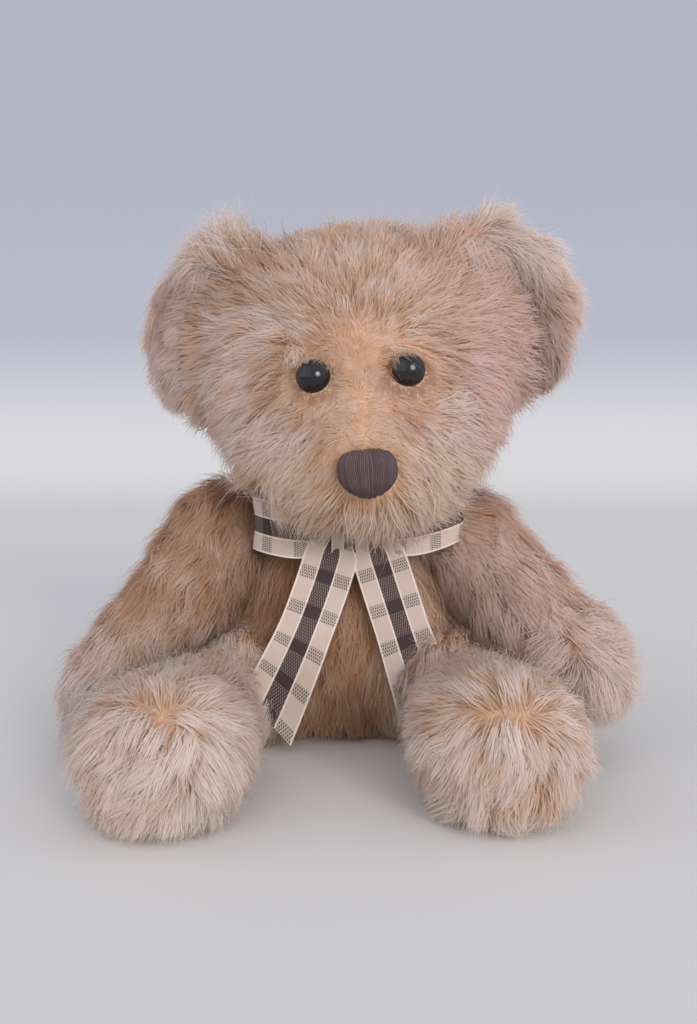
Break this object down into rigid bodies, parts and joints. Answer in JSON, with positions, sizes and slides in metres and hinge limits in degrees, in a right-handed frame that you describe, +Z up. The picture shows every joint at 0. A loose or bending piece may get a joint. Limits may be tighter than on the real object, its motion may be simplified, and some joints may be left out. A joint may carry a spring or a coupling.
{
  "type": "teddy bear",
  "caption": "Worn long-pile plush teddy bear, seated with arms out and legs forward, with cupped ears, black dome eyes, a stitched nose and a checked ribbon bow at the neck.",
  "frame": {"origin": "on the surface that the bear sits on, under the middle of its box", "axes": "+Z up; the bear looks along -Y, so its own left side is +X"},
  "size_m": [0.2164, 0.1755, 0.2051],
  "materials": {
    "peach_plush": "long worn pile, matted in locks",
    "cream_plush": "long worn pile, matted in locks",
    "eye_plastic": "polished dome",
    "washer_plastic": "moulded, unpolished",
    "nose_thread": "satin stitched thread",
    "ribbon_weave": "woven check, soft"
  },
  "bodies": {
    "root": {"torso": "peach_plush", "head": "cream_plush", "ear_left": "cream_plush", "ear_right": "cream_plush", "arm_left": "peach_plush", "arm_right": "peach_plush", "leg_left": "cream_plush", "leg_right": "cream_plush", "eye_left": "eye_plastic", "eye_right": "eye_plastic", "eye_washer_left": "washer_plastic", "eye_washer_right": "washer_plastic", "nose": "nose_thread", "neck_ribbon": "ribbon_weave"}
  },
  "joints": []
}
